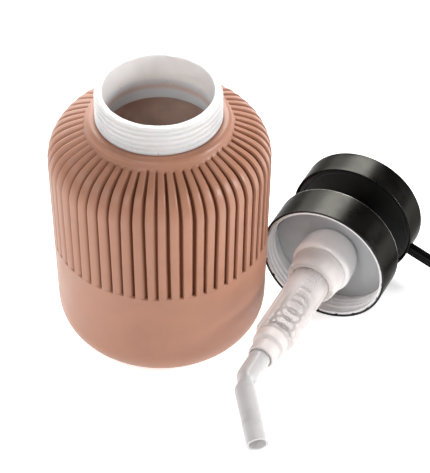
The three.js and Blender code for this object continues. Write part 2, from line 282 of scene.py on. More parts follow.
def revolve(name: str, outline: Outline, segments: int = 96, closed: bool = True,
            shift: Shift | None = None) -> bpy.types.Object:
    """A piece turned about Z.

    Args:
        name: Name of the piece.
        outline: (radius, height) points in millimetres; a radius of 0 is a pole.
        segments: Number of stretches round the axis.
        closed: True if the outline closes on itself.
        shift: Optional change of (radius, height) by angle.

    Returns:
        The object, at the origin.
    """
    rows = Rows(name)
    for r, z in (point[:2] for point in outline):
        if r < POLE:
            rows.ring([Vector((0, 0, z * MM))])
            continue
        points = []
        for index in range(segments):
            angle = 2 * math.pi * index / segments
            radius, height = shift(angle, r, z) if shift else (r, z)
            points.append(polar(radius, angle, height))
        rows.ring(points)
    return rows.build(closed)


def sweep(name: str, path: list[Vector], radius: float, bore: float = 0.0, sides: int = 20,
          squash: Callable[[int], tuple[float, float]] | None = None) -> bpy.types.Object:
    """A bar or tube along a path, with flat ends.

    Args:
        name: Name of the piece.
        path: Points in millimetres.
        radius: Outer radius.
        bore: Inner radius, or 0 for a solid bar.
        sides: Points round the section.
        squash: Optional widths of the section at each point, across and along its bend.

    Returns:
        The object, at the origin.
    """
    rows = Rows(name)
    tangents = [(path[min(i + 1, len(path) - 1)] - path[max(i - 1, 0)]).normalized()
                for i in range(len(path))]
    side = tangents[0].orthogonal().normalized()
    if abs(tangents[0].z) > 0.9:
        side = Vector((1, 0, 0))
    frames = []
    for tangent in tangents:
        side = (side - tangent * side.dot(tangent)).normalized()
        frames.append((side.copy(), tangent.cross(side)))

    def section(index: int, size: float) -> list[Vector]:
        """One ring of the tube.

        Args:
            index: Which point of the path it is at.
            size: Its radius in millimetres.

        Returns:
            The ring's points in metres.
        """
        along, across = frames[index]
        wide, deep = squash(index) if squash else (1.0, 1.0)
        points = []
        for step in range(sides):
            angle = 2 * math.pi * step / sides
            offset = along * math.cos(angle) * deep + across * math.sin(angle) * wide
            points.append((path[index] + offset * size) * MM)
        return points

    order = range(len(path))
    if bore:
        for index in order:
            rows.ring(section(index, radius))
        for index in reversed(order):
            rows.ring(section(index, bore))
        return rows.build(True)
    rows.ring([path[0] * MM])
    for index in order:
        rows.ring(section(index, radius))
    rows.ring([path[-1] * MM])
    return rows.build(False)


# ---- Shader helpers ------------------------------------------------------------------------------

class Tree:
    """A node tree being filled in."""

    def __init__(self, tree: bpy.types.NodeTree) -> None:
        """Wraps a tree."""
        self.tree = tree

    def add(self, kind: str, inputs: dict | None = None, **settings) -> bpy.types.Node:
        """Adds a node.

        Args:
            kind: Node type.
            inputs: Values, or output sockets to link, by input name.
            settings: Attributes of the node.

        Returns:
            The node.
        """
        node = self.tree.nodes.new(kind)
        for key, value in settings.items():
            setattr(node, key, value)
        self.fill(node, inputs or {})
        return node

    def fill(self, node: bpy.types.Node, inputs: dict) -> None:
        """Sets some inputs of a node.

        Args:
            node: The node.
            inputs: Values, or output sockets to link, by input name.
        """
        for key, value in inputs.items():
            if isinstance(value, bpy.types.NodeSocket):
                self.tree.links.new(value, node.inputs[key])
            else:
                node.inputs[key].default_value = value

    def ramp(self, source: bpy.types.NodeSocket, low: object, high: object, start: float = 0.0,
             end: float = 1.0) -> bpy.types.NodeSocket:
        """Maps a value smoothly from one range to another.

        Args:
            source: The value.
            low: Start of its range, as a value or a socket.
            high: End of its range, likewise.
            start: What low becomes.
            end: What high becomes.

        Returns:
            The output.
        """
        node = self.add("ShaderNodeMapRange", {
            "Value": source, "From Min": low, "From Max": high, "To Min": start, "To Max": end,
        }, interpolation_type="SMOOTHSTEP")
        return node.outputs["Result"]

    def math(self, operation: str, first: object, second: object = 0.0) -> bpy.types.NodeSocket:
        """A Math node of two values or sockets, and returns its output."""
        return self.add("ShaderNodeMath", {0: first, 1: second}, operation=operation).outputs[0]

    def mix(self, factor: object, first: object, second: object) -> bpy.types.NodeSocket:
        """Mixes two colours, each a value or a socket, and returns the output."""
        node = self.add("ShaderNodeMix", {0: factor, 6: first, 7: second}, data_type="RGBA")
        return node.outputs[2]

    def spot(self) -> bpy.types.NodeSocket:
        """The point's place in the piece's own frame, which its mesh carries."""
        return self.add("ShaderNodeAttribute", attribute_name="place").outputs["Vector"]

    def noise(self, place: bpy.types.NodeSocket, scale: object, detail: float,
              roughness: float = 0.5) -> bpy.types.NodeSocket:
        """Soft noise.

        Args:
            place: Where to read it.
            scale: How fine it is, as a value or a socket.
            detail: How many finer layers it has.
            roughness: How strong they are.

        Returns:
            The output.
        """
        node = self.add("ShaderNodeTexNoise", {
            "Vector": place, "Scale": scale, "Detail": detail, "Roughness": roughness,
        })
        return node.outputs["Fac"]


class Effect:
    """A shader node group with named inputs and outputs."""

    def __init__(self, name: str, inputs: dict[str, float], outputs: Sequence[str]) -> None:
        """Makes the empty group.

        Args:
            name: Name of the group.
            inputs: Default value of each input.
            outputs: Names of the outputs, all single values.
        """
        self.group = bpy.data.node_groups.new(name, "ShaderNodeTree")
        for key, value in inputs.items():
            socket = self.group.interface.new_socket(key, in_out="INPUT", socket_type="NodeSocketFloat")
            socket.default_value = value
        for key in outputs:
            self.group.interface.new_socket(key, in_out="OUTPUT", socket_type="NodeSocketFloat")
        self.tree = Tree(self.group)
        self.entry = self.tree.add("NodeGroupInput")
        self.exit = self.tree.add("NodeGroupOutput")

    def place(self, tree: Tree, **values: float) -> bpy.types.Node:
        """Puts the group in a material, with its own values."""
        return tree.add("ShaderNodeGroup", values, node_tree=self.group)

    def give(self, output: str, socket: bpy.types.NodeSocket) -> None:
        """Links a socket to one of the group's outputs."""
        self.group.links.new(socket, self.exit.inputs[output])


def mottle_effect() -> Effect:
    """Soft blotches and a fine grain, such as cast or moulded stuff has.

    Returns:
        The group.
    """
    effect = Effect("Mottle", {"Blotch": 120.0, "Grain": 2500.0}, ("Tone", "Relief"))
    tree, given = effect.tree, effect.entry.outputs
    place = tree.spot()
    blotch = tree.noise(place, given["Blotch"], 4.0, 0.55)
    grain = tree.noise(place, given["Grain"], 3.0, 0.6)
    effect.give("Tone", tree.ramp(blotch, 0.32, 0.68))
    effect.give("Relief", tree.math("ADD", grain, blotch))
    return effect


def speck_effect() -> Effect:
    """Scattered specks, such as dust, pits or drops of paint.

    Returns:
        The group.
    """
    effect = Effect("Specks", {"Spacing": 400.0, "Amount": 0.3}, ("Mask",))
    tree, given = effect.tree, effect.entry.outputs
    place = tree.spot()
    cells = tree.add("ShaderNodeTexVoronoi", {"Vector": place, "Scale": given["Spacing"]})
    patch = tree.noise(place, 220.0, 3.0)
    reach = tree.math("MULTIPLY", tree.ramp(patch, 0.5, 0.68), given["Amount"])
    effect.give("Mask", tree.math("LESS_THAN", cells.outputs["Distance"], reach))
    return effect


def band_effect() -> Effect:
    """A soft band at one height of the piece, in metres.

    Returns:
        The group.
    """
    effect = Effect("Band", {"Height": 0.1, "Half Width": 0.001}, ("Mask",))
    tree, given = effect.tree, effect.entry.outputs
    height = tree.add("ShaderNodeSeparateXYZ", {"Vector": tree.spot()}).outputs["Z"]
    away = tree.math("ABSOLUTE", tree.math("SUBTRACT", height, given["Height"]))
    share = tree.math("DIVIDE", away, given["Half Width"])
    effect.give("Mask", tree.ramp(share, 0.0, 1.0, 1.0, 0.0))
    return effect


def streak_effect() -> Effect:
    """Fine lines round the axis or along it, as turning, drawing or moulding leaves.

    Returns:
        The group.
    """
    effect = Effect("Streaks", {"Round": 300.0, "Along": 6000.0}, ("Tone", "Relief"))
    tree, given = effect.tree, effect.entry.outputs
    place = tree.spot()
    scale = tree.add("ShaderNodeCombineXYZ", {
        "X": given["Round"], "Y": given["Round"], "Z": given["Along"],
    })
    stretched = tree.add("ShaderNodeVectorMath", {0: place, 1: scale.outputs["Vector"]},
                         operation="MULTIPLY")
    lines = tree.noise(stretched.outputs["Vector"], 1.0, 4.0, 0.65)
    effect.give("Tone", tree.ramp(lines, 0.3, 0.7))
    effect.give("Relief", lines)
    return effect


def groove_effect() -> Effect:
    """Depth of the bottle's grooves, which their mesh carries point by point.

    Returns:
        The group.
    """
    effect = Effect("Groove depth", {"From": 0.15, "To": 1.0}, ("Mask",))
    tree, given = effect.tree, effect.entry.outputs
    depth = tree.add("ShaderNodeAttribute", attribute_name="groove").outputs["Fac"]
    effect.give("Mask", tree.ramp(depth, given["From"], given["To"]))
    return effect


MOTTLE = mottle_effect()
SPECKS = speck_effect()
BAND = band_effect()
STREAKS = streak_effect()
GROOVES = groove_effect()


# ---- Finishes ------------------------------------------------------------------------------------

RELIEF_DEPTH = 0.0004
GLOW_REACH = 0.006
REDDENING = (1.0, 0.85, 0.75)
COAT_ROUGHNESS = 0.08


def grey(value: float) -> tuple[float, float, float, float]:
    """A neutral colour of that linear brightness."""
    return (value, value, value, 1.0)


def lined(tree: Tree, mottle: bpy.types.Node, across: float, along: float,
          share: float) -> bpy.types.NodeSocket:
    """Relief of fine lines over a mottled surface.

    Args:
        tree: The material's tree.
        mottle: Its mottle group.
        across: How fine the lines are across the axis.
        along: How fine they are along it.
        share: How much of the mottle's relief stays.

    Returns:
        The height.
    """
    lines = STREAKS.place(tree, Round=across, Along=along)
    return tree.math("ADD", lines.outputs["Relief"], tree.math("MULTIPLY", mottle.outputs["Relief"], share))


@dataclass(frozen=True)
class Finish:
    """What a surface is made of. Colours are linear."""

    name: str
    colour: tuple[float, float, float, float]
    roughness: float = 0.5
    metallic: float = 0.0
    specular: float = 0.5
    coat: float = 0.0
    glow_through: float = 0.0
    tone: float = 0.06
    blotch: float = 150.0
    grain: float = 2500.0
    relief: float = 0.05

    def material(self) -> bpy.types.Material:
        """The finish's material, made once."""
        return bpy.data.materials.get(self.name) or self.build()

    def build(self) -> bpy.types.Material:
        """Makes the material: a Principled BSDF with mottled colour, roughness and fine relief.

        Returns:
            The new material.
        """
        material = bpy.data.materials.new(self.name)
        material.use_nodes = True
        material.node_tree.nodes.clear()
        tree = Tree(material.node_tree)
        shader = tree.add("ShaderNodeBsdfPrincipled", {
            "Metallic": self.metallic, "Specular IOR Level": self.specular,
            "Coat Weight": self.coat, "Coat Roughness": COAT_ROUGHNESS,
        })
        tree.add("ShaderNodeOutputMaterial", {"Surface": shader.outputs["BSDF"]}, location=(400, 0))
        if self.glow_through:
            tree.fill(shader, {
                "Subsurface Weight": self.glow_through, "Subsurface Radius": REDDENING,
                "Subsurface Scale": GLOW_REACH,
            })
        mottle = MOTTLE.place(tree, Blotch=self.blotch, Grain=self.grain)
        colour = tree.mix(mottle.outputs["Tone"], self.shade(1 - self.tone), self.shade(1 + self.tone))
        colour = self.colouring(tree, colour)
        rough = tree.ramp(mottle.outputs["Tone"], 0.0, 1.0, self.roughness * 0.9, self.roughness * 1.1)
        bump = tree.add("ShaderNodeBump", {
            "Strength": self.relief, "Distance": RELIEF_DEPTH, "Height": self.height(tree, mottle),
        })
        tree.fill(shader, {"Base Color": colour, "Roughness": rough, "Normal": bump.outputs["Normal"]})
        self.finishing(tree, shader)
        return material

    def shade(self, share: float) -> tuple[float, ...]:
        """The finish's colour made lighter or darker."""
        return tuple(min(part * share, 1.0) for part in self.colour[:3]) + (1.0,)

    def colouring(self, tree: Tree, colour: bpy.types.NodeSocket) -> bpy.types.NodeSocket:
        """Adds what is special about this finish's colour, and returns the new colour."""
        return colour

    def height(self, tree: Tree, mottle: bpy.types.Node) -> bpy.types.NodeSocket:
        """The fine relief of the surface."""
        return mottle.outputs["Relief"]

    def finishing(self, tree: Tree, shader: bpy.types.Node) -> None:
        """A last change to the shader."""


@dataclass(frozen=True)
class CastResin(Finish):
    """Pigmented cast resin: painted shade in the grooves, and a few pale specks of dust."""

    # Colour of the painted shade deep in the grooves.
    deep: tuple[float, float, float, float] = (0.12, 0.034, 0.012, 1.0)

    def colouring(self, tree: Tree, colour: bpy.types.NodeSocket) -> bpy.types.NodeSocket:
        """Paints shade into the grooves and scatters specks.

        Args:
            tree: The material's tree.
            colour: The colour so far.

        Returns:
            The new colour.
        """
        # Painted shade: the grooves darken towards a deep brown as they get deeper.
        groove = GROOVES.place(tree, **{"From": 0.22, "To": 0.9}).outputs["Mask"]
        colour = tree.mix(tree.math("MULTIPLY", groove, 0.9), colour, self.deep)
        specks = SPECKS.place(tree, Spacing=700.0, Amount=0.16).outputs["Mask"]
        return tree.mix(tree.math("MULTIPLY", specks, 0.25), colour, self.shade(1.35))

    def finishing(self, tree: Tree, shader: bpy.types.Node) -> None:
        """Dims the reflection in the grooves to match their painted shade.

        Args:
            tree: The material's tree.
            shader: The Principled BSDF.
        """
        # Painted shade: the deeper the groove, the less it reflects.
        groove = GROOVES.place(tree, **{"From": 0.2, "To": 0.8}).outputs["Mask"]
        tree.fill(shader, {"Specular IOR Level": tree.ramp(groove, 0.0, 1.0, self.specular, 0.05)})


@dataclass(frozen=True)
class SpunMetal(Finish):
    """Lacquered metal with the faint lines of spinning under the lacquer."""

    round_scale: float = 90.0
    along_scale: float = 5200.0
    grazing: float = 0.42

    def height(self, tree: Tree, mottle: bpy.types.Node) -> bpy.types.NodeSocket:
        """Fine lines round the axis."""
        return lined(tree, mottle, self.round_scale, self.along_scale, 0.3)

    def finishing(self, tree: Tree, shader: bpy.types.Node) -> None:
        """Keeps the surface dark where it is seen at a low angle."""
        tree.fill(shader, {"Specular Tint": grey(self.grazing)})


@dataclass(frozen=True)
class MilkyPlastic(Finish):
    """Translucent moulded plastic: clearer seen face on, milkier at its edges."""

    clear: float = 0.5
    edge: float = 0.95
    thick_at: float = 0.0
    thick_reach: float = 0.0

    def height(self, tree: Tree, mottle: bpy.types.Node) -> bpy.types.NodeSocket:
        """Flow lines along the piece."""
        return lined(tree, mottle, 900.0, 120.0, 0.4)

    def finishing(self, tree: Tree, shader: bpy.types.Node) -> None:
        """Lets light and what is inside show through.

        Args:
            tree: The material's tree.
            shader: The Principled BSDF.
        """
        facing = tree.add("ShaderNodeLayerWeight", {"Blend": 0.35}).outputs["Facing"]
        alpha = tree.ramp(facing, 0.0, 1.0, self.clear, self.edge)
        if self.thick_reach:
            band = BAND.place(tree, **{"Height": self.thick_at, "Half Width": self.thick_reach})
            haze = tree.ramp(band.outputs["Mask"], 0.0, 0.35, 0.0, 0.93)
            alpha = tree.math("MAXIMUM", alpha, haze)
        tree.fill(shader, {"Alpha": alpha})


@dataclass(frozen=True)
class ResinGlowPlastic(MilkyPlastic):
    """Translucent plastic with a painted glow of resin-coloured light where the bottle holds it."""

    # Colour of the painted resin glow, also used for the flecks.
    glow_and_fleck_colour: tuple[float, float, float, float] = (0.72, 0.36, 0.24, 1.0)
    glow_band_height: float = 0.1
    glow_band_width: float = 0.002

    def colouring(self, tree: Tree, colour: bpy.types.NodeSocket) -> bpy.types.NodeSocket:
        """Paints a glow of resin-coloured light on the stretch inside the bottle's mouth and drops a few
        flecks of colour.

        Args:
            tree: The material's tree.
            colour: The colour so far.

        Returns:
            The new colour.
        """
        # Painted light: a soft band of resin-coloured glow just inside the bottle's mouth.
        band = BAND.place(tree, **{"Height": self.glow_band_height, "Half Width": self.glow_band_width})
        colour = tree.mix(tree.math("MULTIPLY", band.outputs["Mask"], 0.55), colour, self.glow_and_fleck_colour)
        specks = SPECKS.place(tree, Spacing=900.0, Amount=0.32).outputs["Mask"]
        low = BAND.place(tree, **{"Height": self.glow_band_height + 0.003, "Half Width": 0.006})
        flecks = tree.math("MULTIPLY", specks, low.outputs["Mask"])
        return tree.mix(tree.math("MULTIPLY", flecks, 0.6), colour, self.glow_and_fleck_colour)


RAW_RESIN = Finish("Unpolished resin", (0.80, 0.60, 0.51, 1.0), roughness=0.7, tone=0.08, relief=0.2)
RESIN = CastResin("Terracotta resin", (0.383, 0.180, 0.113, 1.0), roughness=0.42, specular=0.42,
                  tone=0.035, blotch=90.0, grain=1800.0, relief=0.10)
LACQUER = SpunMetal("Satin black lacquer", (0.0290, 0.0280, 0.0253, 1.0), roughness=0.3, metallic=1.0,
                    tone=0.03, relief=0.015)
LIP = Finish("Black lip", grey(0.004), roughness=0.34, specular=0.25, relief=0.02)
EDGE = Finish("Bright worn edge", (0.30, 0.285, 0.25, 1.0), roughness=0.3, metallic=1.0, relief=0.01)
BLACK = Finish("Black moulding", grey(0.006), roughness=0.42, specular=0.35, relief=0.12, grain=4200.0)
SPOUT = SpunMetal("Satin black spout", grey(0.012), roughness=0.34, metallic=1.0, relief=0.05,
                  round_scale=5200.0, along_scale=120.0)
WHITE = Finish("White moulding", (0.88, 0.885, 0.89, 1.0), roughness=0.36, glow_through=0.12, tone=0.02,
               relief=0.05)
GLOSS = Finish("Gloss white moulding", (0.95, 0.925, 0.92, 1.0), roughness=0.12, coat=0.4,
               glow_through=0.15, tone=0.015, relief=0.02)
# The washer's grey is partly the foam's own colour and partly painted shade inside the collar.
FOAM_WITH_SHADE = Finish("Foam washer with painted shade", (0.44, 0.45, 0.46, 1.0), roughness=0.7, tone=0.05, grain=5200.0,
              relief=0.25)
PAD = Finish("Black foam pad", grey(0.02), roughness=0.85, tone=0.2, grain=6000.0, relief=0.5)
STEEL = SpunMetal("Spring steel", (0.014, 0.015, 0.017, 1.0), roughness=0.5, metallic=1.0)
BALL = Finish("Polished ball", (0.72, 0.73, 0.74, 1.0), roughness=0.12, metallic=1.0, relief=0.01)
SEAL = Finish("Soft seal", (0.62, 0.63, 0.64, 1.0), roughness=0.5, glow_through=0.2)
CLEAR = MilkyPlastic("Milky cylinder", (0.75, 0.69, 0.67, 1.0), roughness=0.42, specular=0.35, tone=0.03,
                     clear=0.24, edge=0.86, thick_at=-0.061, thick_reach=0.0165)
CUP = MilkyPlastic("Milky cup", (0.88, 0.83, 0.81, 1.0), roughness=0.45, specular=0.3, clear=0.42,
                   edge=0.9, tone=0.03)
TUBE = MilkyPlastic("Milky tube", (0.70, 0.68, 0.68, 1.0), roughness=0.3, specular=0.4, tone=0.03,
                    clear=0.72, edge=0.95)


# ---- Where things are ----------------------------------------------------------------------------

class Body(Enum):
    """The bodies that pieces ride on."""

    BOTTLE = "bottle"
    HOUSING = "housing"
    COLLAR = "collar"
    PLUNGER = "plunger"
    HEAD = "head"
    INLET = "inlet_valve"
    OUTLET = "outlet_valve"


@dataclass(frozen=True)
class Pose:
    """The pump unit's own frame: Z up its axis from the collar's lip, X along the spout."""

    matrix: Matrix

    @classmethod
    def of_pump(cls) -> "Pose":
        """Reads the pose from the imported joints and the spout's box.

        Returns:
            The pose.
        """
        turn = next(joint for joint in frame["joints"] if joint["name"] == "collar_turn")
        origin = Vector(turn["pos_m"])
        up = Vector(turn["axis"]).normalized()
        low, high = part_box("spout_tube")
        spout = (Vector(low) + Vector(high)) / 2 - origin
        spout = (spout - up * spout.dot(up)).normalized()
        basis = Matrix((spout, up.cross(spout), up)).transposed()
        return cls(Matrix.Translation(origin) @ basis.to_4x4())


def dress(piece: bpy.types.Object, finish: Finish, body: Body, node: str,
          matrix: Matrix | None = None) -> bpy.types.Object:
    """Gives a piece its material, place and body.

    Args:
        piece: The new object.
        finish: What it is made of.
        body: The body that it rides on.
        node: CAD node that it stands for.
        matrix: Its place, or None for the origin.

    Returns:
        The same object.
    """
    piece.data.materials.append(finish.material())
    place = piece.data.attributes.new("place", "FLOAT_VECTOR", "POINT")
    place.data.foreach_set("vector", [part for vertex in piece.data.vertices for part in vertex.co])
    if matrix is not None:
        piece.data.transform(matrix)
    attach(piece, body.value)
    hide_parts(node)
    LOG.info("%s: %d faces, %s", piece.name, len(piece.data.polygons), finish.name)
    return piece


@dataclass
class OnPump:
    """A sub-assembly that lies with the pump unit."""

    pose: Pose

    body: ClassVar[Body] = Body.HOUSING

    def place(self, piece: bpy.types.Object, finish: Finish, slot: str, node: str) -> None:
        """Dresses a piece of this sub-assembly's own body."""
        dress(piece, finish, self.body, node, self.pose.matrix)

    def place_ball(self, name: str, body: Body, radius: float, level: float) -> None:
        """Makes and dresses a steel ball on the pump's axis, with its centre at that level."""
        ball = revolve(name, arc((0, level), (radius,) * 2, (-90, 90), 20), 36, False)
        dress(ball, BALL, body, name, self.pose.matrix)


# ---- Bottle --------------------------------------------------------------------------------------

@dataclass
class Bottle:
    """Ribbed resin bottle with its threaded insert and foot pad. Millimetres."""

    shoulder_radius: float = 45.0
    base_radius: float = 43.0
    bend_centre: tuple[float, float] = (32.6, 87.3)
    bend: tuple[float, float] = (12.4, 14.5)
    foot_round: float = 17.5
    foot_height: float = 0.5
    seat_height: float = 107.9
    rib_count: int = 56
    groove_depth: float = 1.85
    ribbed_from: float = 49.0
    ribbed_to: float = 30.5
    pad_radius: float = 24.0
    pad_thickness: float = 1.2
    insert_bore: float = 22.2
    insert_root: float = 24.6
    insert_height: float = 12.9
    insert_skirt: float = 8.4
    thread_depth: float = 0.9
    thread_pitch: float = 2.5
    seed: int = 7
    resin_wall: float = 4.5
    end_fade: float = 0.25
    neck_fade: float = 0.5
    neck_share: float = 0.7
    narrowing: tuple[float, float] = (30.0, 41.0)
    wave_length: float = 17.0
    raw_levels: tuple[float, float] = (5.0, 102.5)
    raw_radius: float = 40.6
    skirt_wall: float = 1.3
    flange: float = 1.5
    steps: tuple[float, ...] = (
        0.0, 0.02, 0.04, 0.065, 0.11, 0.20, 0.33, 0.48, 0.62, 0.73, 0.81, 0.87, 0.92, 0.965,
    )

    def build(self) -> None:
        """Builds the three pieces."""
        shell = dress(self.shell(), RESIN, Body.BOTTLE, "bottle_shell")
        shell.data.materials.append(RAW_RESIN.material())
        low, high = (level * MM for level in self.raw_levels)
        for face in shell.data.polygons:
            near = max(shell.data.vertices[index].co.xy.length for index in face.vertices)
            top = max(shell.data.vertices[index].co.z for index in face.vertices)
            inward = face.normal.xy.dot(face.center.xy) < 0 or near < self.insert_bore * MM
            if inward and low < top < high and near < self.raw_radius * MM:
                face.material_index = 1
        # The insert's finish carries a painted band of resin-coloured glow inside the mouth.
        insert_finish = ResinGlowPlastic(
            "Frosted insert", (0.715, 0.712, 0.715, 1.0), roughness=0.4, glow_through=0.6, clear=0.8,
            edge=0.97, tone=0.015, glow_band_height=(self.seat_height - 2.4) * MM, glow_band_width=0.0022,
        )
        dress(self.insert(), insert_finish, Body.BOTTLE, "neck_insert")
        dress(self.pad(), PAD, Body.BOTTLE, "base_pad")

    def outer(self) -> Outline:
        """Outline of the resin's outside, from the foot's recess to the mouth, finer at the ribs' ends.

        Returns:
            (radius, height) points.
        """
        wall_top = self.bend_centre[1]
        wall_low = self.foot_height + self.foot_round
        slope = (self.shoulder_radius - self.base_radius) / (wall_top - wall_low)
        heights = [24.0, 30.0, 36.0, 42.0, 46.0]
        heights += [self.ribbed_from - 1.2 + 0.2 * step for step in range(13)]
        heights += [self.ribbed_from + 3 + 3.2 * step for step in range(11)]
        wall = [(self.base_radius + slope * (z - wall_low), z) for z in heights]
        foot = arc((self.base_radius - self.foot_round, wall_low), (self.foot_round,) * 2, (-90, 0), 14)
        bend = arc(self.bend_centre, self.bend, (0, 84), 22)
        bend = [(r, z + 1.5 * max(0.0, (38.5 - r) / 6.5) ** 2) for r, z in bend]
        end = bend[-1]
        ring = [(end[0] - 0.2 * step, end[1] + 0.085 * step) for step in range(1, 20)]
        bead = [(29.9, 104.7), (29.5, 105.1), (29.35, 105.9), (29.1, 106.7),
                (28.6, 107.3), (28.0, 107.75), (27.2, 107.9)]
        rim = self.foot_height
        recess = self.pad_radius + GAP
        start = [(recess, self.pad_thickness + GAP), (recess, rim + 0.3), (recess + 0.3, rim)]
        return start + foot + wall + bend + ring + bead

    def inner(self) -> Outline:
        """Outline of the resin's inside, from the mouth to the floor.

        Returns:
            (radius, height) points.
        """
        bore = self.insert_bore + 1.6
        wall = self.resin_wall
        return [
            (bore + 0.3, self.seat_height), (bore, self.seat_height - 0.3), (bore, 103.0),
            (bore, 101.8), (bore + 0.6, 101.2), (31.0, 97.0), (36.0, 94.5),
            (39.2, 91.0), (self.shoulder_radius - wall, 86.0), (40.0, 70.0), (39.4, 50.0),
            (38.9, 30.0), (self.base_radius - wall, 21.0), (37.0, 14.5), (34.0, 10.5),
            (30.5, 8.0), (26.0, 6.9), (15.0, 6.3), (6.0, 6.1), (0.0, 6.0),
        ]

    def groove(self, share: float) -> float:
        """Depth of a rib's section: a steep side, a tilted crest and a side that leans into the groove.

        Args:
            share: Place across the rib, from 0 to 1.

        Returns:
            0 at the crest and 1 in the grooves on either side.
        """
        steep = 1 - smooth(-0.02, 0.065, share)
        lean = min(max(0.0, (share - 0.6) / 0.36), 1.0) ** 1.8
        slope = 0.34 * max(0.0, share - 0.12) ** 1.3 + 0.03 * math.sin(share * 19)
        return min(max(steep, lean) + max(slope, 0.0), 1.0)

    def carved(self, share: float, r: float, z: float, end: tuple[float, float, float]) -> float:
        """Depth of the grooves at a place on the wall, fading at the ribs' ends.

        Args:
            share: Place across the rib, from 0 to 1.
            r: Radius of the wall there.
            z: Its height.
            end: How the rib's foot, its neck end and its depth differ from the others'.

        Returns:
            The share of the grooves' full depth.
        """
        low, high, scale = end
        foot, neck = self.ribbed_from + low, self.ribbed_to + high
        keep = smooth(foot - self.end_fade, foot + self.end_fade, z)
        fade = smooth(neck - self.neck_fade, neck, r)
        narrow = self.neck_share + (1 - self.neck_share) * smooth(*self.narrowing, r)
        return self.groove(share) * keep * fade * scale * narrow

    def shell(self) -> bpy.types.Object:
        """The resin shell: hand-finished ribs whose grooves wander a little.

        Returns:
            The piece.
        """
        rng = random.Random(self.seed)
        pitch = 2 * math.pi / self.rib_count
        wander = [(rng.uniform(-0.06, 0.06), rng.uniform(-0.05, 0.05), rng.uniform(0, 6.28))
                  for _ in range(self.rib_count)]
        ends = [(rng.uniform(-0.35, 0.35), rng.uniform(-0.3, 0.4), rng.uniform(0.85, 1.1))
                for _ in range(self.rib_count)]
        rows = Rows("bottle_shell")
        depths: list[float] = []
        outline = [(0.0, self.pad_thickness + GAP)] + self.outer() + self.inner()
        outer_count = len(self.outer()) + 1
        travelled = 0.0
        for index, (r, z) in enumerate(outline):
            if r < POLE:
                rows.ring([Vector((0, 0, z * MM))])
                depths.append(0.0)
                continue
            before, after = Vector(outline[index - 1]), Vector(outline[(index + 1) % len(outline)])
            along = (after - before).normalized()
            outward = Vector((along.y, -along.x))
            travelled += (Vector((r, z)) - before).length
            ribbed = index < outer_count and z > 40
            points = []
            for rib in range(self.rib_count):
                offset, wave, phase = wander[rib]
                nxt = wander[(rib + 1) % self.rib_count]
                start = rib + offset + wave * math.sin(travelled / self.wave_length + phase)
                end = rib + 1 + nxt[0] + nxt[1] * math.sin(travelled / self.wave_length + nxt[2])
                for share in self.steps:
                    angle = (start + (end - start) * share) * pitch
                    depth = 0.0
                    if ribbed:
                        owner = rib if share < 0.5 else (rib + 1) % self.rib_count
                        depth = self.carved(share, r, z, ends[owner])
                    place = Vector((r, z)) - outward * depth * self.groove_depth
                    points.append(polar(place.x, angle, place.y))
                    depths.append(depth)
            rows.ring(points)
        shell = rows.build(False, sharp=60.0)
        layer = shell.data.attributes.new("groove", "FLOAT", "POINT")
        layer.data.foreach_set("value", depths)
        return shell

    def thread(self, angle: float, height: float, low: float, high: float) -> float:
        """The thread's ridge at a place on the insert's wall.

        Args:
            angle: Radians round the axis.
            height: Level of the place.
            low: Level where the thread starts.
            high: Level where it ends.

        Returns:
            Its share of the thread's depth, from 0 to 1.
        """
        ridge = 1 - smooth(0.18, 0.62, off_thread(angle, height - low, self.thread_pitch))
        ends = smooth(low - 0.2, low + 0.7, height) * (1 - smooth(high - 0.7, high + 0.2, height))
        return ridge * ends

    def insert(self) -> bpy.types.Object:
        """The threaded neck insert, with a slightly uneven trimmed mouth.

        Returns:
            The piece.
        """
        bottom = self.seat_height + GAP
        top = self.seat_height + self.insert_height
        low = top - 9.6
        high = top - 1.2
        outline = rounded([
            (self.insert_bore, self.seat_height - self.insert_skirt, 0.2),
            (self.insert_bore + self.skirt_wall, self.seat_height - self.insert_skirt, 0.2),
            (self.insert_bore + self.skirt_wall, bottom),
            (self.insert_root + self.thread_depth, bottom, 0.2),
            (self.insert_root + self.thread_depth, bottom + self.flange, 0.3),
            (self.insert_root, bottom + 2.1, 0.3),
            (self.insert_root, top, 0.6),
            (self.insert_bore, top, 0.5),
        ])
        outline = dense(outline, 0.22)

        def shift(angle: float, r: float, z: float) -> tuple[float, float]:
            """Raises the thread and makes the mouth's edge uneven.

            Args:
                angle: Radians round the axis.
                r: Radius of the point.
                z: Height of the point.

            Returns:
                The new radius and height.
            """
            if r > self.insert_root - 0.05 and bottom + 2.1 < z < top - 0.5:
                r += self.thread_depth * self.thread(angle, z, low, high)
            if z > top - 0.55 and r < self.insert_root - 0.3:
                wobble = noise.noise(Vector((3.2 * math.cos(angle), 3.2 * math.sin(angle), 0.4)))
                z -= 0.28 * max(0.0, wobble)
                r += 0.2 * noise.noise(Vector((6 * math.cos(angle), 6 * math.sin(angle), 2.0)))
            return r, z

        return revolve("neck_insert", outline, 192, True, shift)

    def pad(self) -> bpy.types.Object:
        """The foot pad: a foam disc with a pressed edge.

        Returns:
            The piece.
        """
        outline = rounded([
            (0, 0), (self.pad_radius, 0, 0.25), (self.pad_radius, self.pad_thickness, 0.2),
            (0, self.pad_thickness),
        ], closed=False)
        return revolve("base_pad", outline, 96, False)


# ---- Collar --------------------------------------------------------------------------------------

